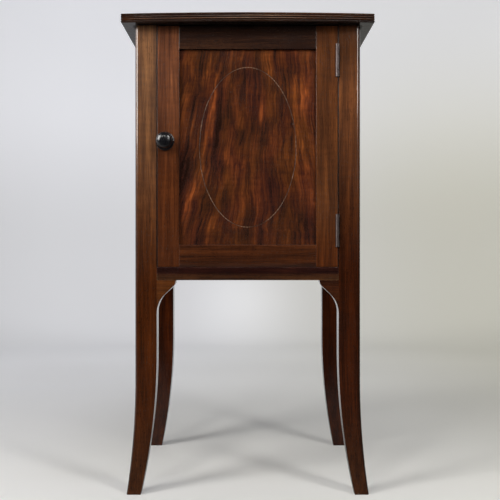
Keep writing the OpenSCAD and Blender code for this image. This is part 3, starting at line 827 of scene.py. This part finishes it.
metals = {
    "hinge steel": {
        "pieces": [
            "upper_hinge_frame_leaf", "lower_hinge_frame_leaf", "upper_hinge_door_leaf",
            "lower_hinge_door_leaf", "hinge_pins", "hinge_frame_screws", "hinge_door_screws",
        ],
    },
    "catch brass": {
        "clean": (0.60, 0.42, 0.16),
        "tarnish": (0.12, 0.07, 0.03),
        "seed": 6.0,
        "pieces": ["knob_spindle", "catch_tongue"],
    },
}


def dress(material, *names):
    for name in names:
        node = cadNodes[name]
        node.data.materials.clear()
        node.data.materials.append(material)


for piece, changes in boardLooks.items():
    dress(mahogany(changes["wood"], changes), piece)
dress(flameWood("panel wood"), "door_panel")
for name, changes in insideBoards.items():
    dress(insideWood(name, changes), *changes["pieces"])
for name, changes in metals.items():
    dress(wornMetal(name, changes), *changes["pieces"])
dress(ebonisedWood("knob black"), "knob")
dress(stringing("stringing", *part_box("oval_inlay")), "oval_inlay")
print("materials on", len(cadNodes), "nodes")


# Soft arrises on the wood: the sharp edges get a fine rounding

woodEdge = {"width": 0.0003, "segments": 2, "angle": 35.0}
railEdge = {"width": 0.0009, "segments": 3, "angle": 35.0}   # more rounded, round the door's lower end
weldWithin = 0.000005
reedMitre = 20.0                       # degrees above which the reeds' edges stay sharp
railNodes = ["front_bottom_rail", "door_bottom_rail"]
roundedNodes = [
    "front_left_leg", "front_right_leg", "rear_left_leg", "rear_right_leg", "left_side_board",
    "right_side_board", "front_bottom_rail", "front_head_rail", "rear_top_rail", "rear_bottom_rail",
    "back_panel", "bottom_board", "shelf", "shelf_bearers", "glue_blocks", "door_stop",
    "door_lock_stile", "door_hinge_stile", "door_top_rail", "door_bottom_rail", "door_panel",
]


def smoothFaces(mesh):
    # the loaded normals go, so that the shading follows the faces
    if "custom_normal" in mesh.attributes:
        mesh.attributes.remove(mesh.attributes["custom_normal"])
    for face in mesh.polygons:
        face.use_smooth = True


def softenEdges(node, look):
    smoothFaces(node.data)
    for edge in node.data.edges:
        edge.use_edge_sharp = False
    weld = node.modifiers.new("join", "WELD")
    weld.merge_threshold = weldWithin
    bevel = node.modifiers.new("softEdges", "BEVEL")
    bevel.width = look["width"]
    bevel.segments = look["segments"]
    bevel.limit_method = "ANGLE"
    bevel.angle_limit = math.radians(look["angle"])
    bevel.harden_normals = True
    bevel.use_clamp_overlap = False
    bevel.miter_outer = "MITER_ARC"


def shadeReeds(node):
    # true shading up to the mitres of the reeds
    smoothFaces(node.data)
    node.data.set_sharp_from_angle(angle=math.radians(reedMitre))


for name in roundedNodes:
    softenEdges(cadNodes[name], railEdge if name in railNodes else woodEdge)
shadeReeds(cadNodes["top_board"])
print("soft edges on", len(roundedNodes), "nodes")


# Studio: a round pale bowl, open at the top

studioLook = {
    "floorRadius": 2.1,
    "innerRadius": 1.05,
    "coveRadius": 0.8,
    "coveSteps": 16,
    "wallHeight": 3.2,
    "turns": 128,
    "bounce": 0.24,                    # how pale the paint is for light that it throws back
    "mirrored": 0.04,                  # in the polish, in front of the cupboard
    "paint": 0.70,                     # and to the eye
    "paintTint": (1.0, 0.997, 0.965),
    "paintMatt": 0.8,
    "paintShine": 0.1,
    "patchScale": (1.5, 1.5, 1.5),
    "patchTone": (0.985, 1.015),
    "frontTurn": -0.35,                # the dark front room, as the polish mirrors it, is turned a little
    "frontSpan": (-0.6, 0.6),          # and ends between these depths
    "skyColour": (0.95, 0.97, 1.0),
    "sky": 0.07,                       # light from above the bowl
    "skySeen": 0.72,
    "skyMirrored": 0.02,               # the dark room above the cupboard, in the polish
}

# The bowl glows to the eye alone, as painted light, paler up the wall and with painted light and shade in
# places. Each pair is where a change starts and where it is full.

glowLook = {
    "cool": (0.520, 0.529, 0.582),
    "warm": (0.370, 0.362, 0.297),
    "warmAcross": (-0.5, 1.0),         # warm to the right
    "warmUp": (0.5, 1.5),              # and less so up the wall
    "warmLeft": 0.25,
    "floor": 0.29,                     # share of the glow on the floor beside the cupboard
    "wall": 0.72,                      # on the foot of the wall
    "rise": (0.3, 1.7),                # distance from the middle plus height, from floor to wall
    "top": 0.965,                      # and above it
    "topUp": (0.4, 1.05),
    "right": 0.12,                     # painted light on the floor near the right foot
    "rightAcross": (-0.05, 0.35),
    "rightRise": (0.90, 0.45),
    "shade": -0.10,                    # painted shadow on the floor under and behind the cupboard
    "shadeAcross": (0.45, 0.15),
    "shadeRise": (1.2, 0.6),
    "shadeDeep": (-0.14, -0.04),
    "back": -0.085,                    # painted shade on the floor at the foot of the wall
    "backNear": (0.95, 1.5),
    "backFar": (2.35, 2.05),
    "left": -0.07,                     # painted shade at the far left of the wall
    "leftAcross": (-0.75, -1.25),
    "spot": 0.27,                      # a painted pool of light low on the wall
    "spotPlace": (-0.02, 2.6, 0.14),
    "spotReach": (0.32, 0.0),
    "spotShape": (1.0, 0.3, 1.0),
}


def makeBowl(look):
    profile = [(look["innerRadius"], 0.0), (look["floorRadius"], 0.0)]
    for i in range(1, look["coveSteps"] + 1):
        bend = math.radians(90) * i / look["coveSteps"]
        profile.append((look["floorRadius"] + look["coveRadius"] * math.sin(bend),
                        look["coveRadius"] * (1 - math.cos(bend))))
    profile.append((look["floorRadius"] + look["coveRadius"], look["wallHeight"]))
    turns = look["turns"]
    angles = [2 * math.pi * i / turns for i in range(turns)]
    mesh = bpy.data.meshes.new("studio")
    build = bmesh.new()
    middle = build.verts.new((0, 0, 0))
    rings = []
    for radius, height in profile:
        rings.append([build.verts.new((radius * math.cos(angle), radius * math.sin(angle), height))
                      for angle in angles])
    for i in range(turns):
        build.faces.new((middle, rings[0][i], rings[0][(i + 1) % turns]))
    for low, high in zip(rings, rings[1:]):
        for i in range(turns):
            build.faces.new((low[i], high[i], high[(i + 1) % turns], low[(i + 1) % turns]))
    for face in build.faces:
        face.smooth = True
    build.to_mesh(mesh)
    build.free()
    studio = bpy.data.objects.new("studio", mesh)
    bpy.context.scene.collection.objects.link(studio)
    return studio


def seenBy(tree, mirrored):
    # 1 for the camera, and for reflections as far as mirrored says
    path = addNode(tree, "ShaderNodeLightPath").outputs
    direct = maths(tree, "ADD", path["Is Camera Ray"], path["Is Transmission Ray"])
    return maths(tree, "ADD", direct, product(tree, path["Is Glossy Ray"], mirrored), clamp=True)


def glowShare(tree, look, place):
    # how strongly each place on the floor and the wall glows: painted light, with painted shade and a
    # painted shadow in places
    part = addNode(tree, "ShaderNodeSeparateXYZ", {"Vector": place}).outputs
    across = part["X"]
    deep = part["Y"]
    up = part["Z"]
    flat = vectorMaths(tree, "MULTIPLY", place, (1.0, 1.0, 0.0))
    rise = maths(tree, "ADD", vectorMaths(tree, "LENGTH", flat), up)
    fromSpot = vectorMaths(tree, "SUBTRACT", place, look["spotPlace"])
    away = vectorMaths(tree, "LENGTH", vectorMaths(tree, "MULTIPLY", fromSpot, look["spotShape"]))
    inShade = product(tree, fade(tree, rise, look["shadeRise"]), fade(tree, deep, look["shadeDeep"]))
    places = {
        "right": product(tree, fade(tree, across, look["rightAcross"]), fade(tree, rise, look["rightRise"])),
        "shade": product(tree, fade(tree, maths(tree, "ABSOLUTE", across), look["shadeAcross"]), inShade),
        "back": product(tree, fade(tree, deep, look["backNear"]), fade(tree, deep, look["backFar"])),
        "left": fade(tree, across, look["leftAcross"]),
        "spot": fade(tree, away, look["spotReach"]),
    }
    share = addUp(tree, remap(tree, rise, *look["rise"], look["floor"], look["wall"]),
                  fade(tree, up, look["topUp"], 0.0, look["top"] - look["wall"]))
    for name, mask in places.items():
        share = addUp(tree, share, product(tree, mask, look[name]))
    return share


def studioPaint(look, glow):
    material, tree = newMaterial("studio paint")
    place = addNode(tree, "ShaderNodeTexCoord").outputs["Object"]
    part = addNode(tree, "ShaderNodeSeparateXYZ", {"Vector": place}).outputs
    turned = maths(tree, "ADD", part["Y"], product(tree, part["X"], look["frontTurn"]))
    seen = seenBy(tree, remap(tree, turned, *look["frontSpan"]))
    patches = noise(tree, vectorMaths(tree, "MULTIPLY", place, look["patchScale"]), 2.0)
    tone = remap(tree, patches, noiseLow, noiseHigh, *look["patchTone"])
    glossy = addNode(tree, "ShaderNodeLightPath").outputs["Is Glossy Ray"]
    unseen = remap(tree, glossy, 0.0, 1.0, look["bounce"], look["mirrored"])
    pale = addUp(tree, unseen, product(tree, seen, maths(tree, "SUBTRACT", look["paint"], unseen)))
    colour = tinted(tree, grey(tree, product(tree, pale, tone)), look["paintTint"])
    paint = addNode(tree, "ShaderNodeBsdfPrincipled", {"Base Color": colour, "Roughness": look["paintMatt"]})
    paint.inputs["Specular IOR Level"].default_value = look["paintShine"]
    warm = product(tree, fade(tree, part["X"], glow["warmAcross"]),
                   fade(tree, part["Z"], glow["warmUp"], 1.0, glow["warmLeft"]))
    glowing = addNode(tree, "ShaderNodeEmission", {
        "Color": mixColour(tree, warm, rgba(glow["cool"]), rgba(glow["warm"])),
        "Strength": product(tree, glowShare(tree, glow, place), seen),
    })
    lit = addNode(tree, "ShaderNodeAddShader", {0: paint.outputs["BSDF"], 1: glowing.outputs["Emission"]})
    clear = addNode(tree, "ShaderNodeBsdfTransparent")
    outside = addNode(tree, "ShaderNodeNewGeometry").outputs["Backfacing"]
    both = addNode(tree, "ShaderNodeMixShader", {
        0: outside, 1: lit.outputs["Shader"], 2: clear.outputs["BSDF"],
    })
    addNode(tree, "ShaderNodeOutputMaterial", {"Surface": both.outputs["Shader"]})
    return material


def makeStudio(look, glow):
    makeBowl(look).data.materials.append(studioPaint(look, glow))
    world = bpy.data.worlds.new("studio air")
    world.use_nodes = True
    tree = world.node_tree
    path = addNode(tree, "ShaderNodeLightPath").outputs
    unseen = remap(tree, path["Is Glossy Ray"], 0.0, 1.0, look["sky"], look["skyMirrored"])
    seen = path["Is Camera Ray"]
    strength = addUp(tree, product(tree, unseen, maths(tree, "SUBTRACT", 1.0, seen)),
                     product(tree, seen, look["skySeen"]))
    sky = tree.nodes["Background"]
    sky.inputs["Color"].default_value = rgba(look["skyColour"])
    plug(tree, sky.inputs["Strength"], strength)
    bpy.context.scene.world = world


# Lamps: the softboxes and the small lamp light without being mirrored in the polish,
# the two gloss lamps show only in it, and the top strip does both

softWhite = (1.0, 0.985, 0.96)
lampLooks = {
    "left softbox": {"place": (-1.30, -1.25, 1.45), "aim": (0, 0, 0.7), "size": (0.60, 1.40), "power": 27.0,
                     "colour": softWhite, "mirrored": False},
    "right softbox": {"place": (1.05, -1.55, 1.45), "aim": (0, 0, 0.7), "size": (0.36, 1.40), "power": 17.5,
                      "colour": softWhite, "mirrored": False},
    "small lamp": {"place": (-0.75, -2.1, 1.6), "aim": (0, 0, 0.6), "size": (0.24, 0.24), "power": 9.0,
                   "colour": (1.0, 0.97, 0.92), "mirrored": False},
    "left gloss": {"place": (-1.52, -0.92, 1.28), "aim": (0, 0, 0.55), "size": (1.12, 1.20), "power": 50.0,
                   "colour": softWhite, "lights": False},
    "right gloss": {"place": (1.08, -1.30, 1.36), "aim": (0, 0, 0.55), "size": (0.38, 1.20), "power": 21.0,
                    "colour": softWhite, "lights": False},
    "top strip": {"place": (0.0, -2.2, 1.9), "aim": (0, 0, 0.7), "size": (2.0, 0.10), "power": 8.5,
                  "colour": (1.0, 0.97, 0.93)},
    "back softbox": {"place": (0.0, 2.0, 2.2), "aim": (0, 0, 0.4), "size": (1.6, 1.0), "power": 8.0,
                     "colour": softWhite, "mirrored": False},
}


def makeLamp(name, look):
    data = bpy.data.lights.new(name, "AREA")
    data.shape = "RECTANGLE"
    data.size, data.size_y = look["size"]
    data.energy = look["power"]
    data.color = look["colour"]
    lamp = bpy.data.objects.new(name, data)
    lamp.location = look["place"]
    aim = Vector(look["aim"]) - Vector(look["place"])
    lamp.rotation_euler = aim.to_track_quat("-Z", "Y").to_euler()
    lamp.visible_camera = False
    lamp.visible_glossy = look.get("mirrored", True)
    lamp.visible_diffuse = look.get("lights", True)
    bpy.context.scene.collection.objects.link(lamp)


makeStudio(studioLook, glowLook)
for name, look in lampLooks.items():
    makeLamp(name, look)
print("studio lit")
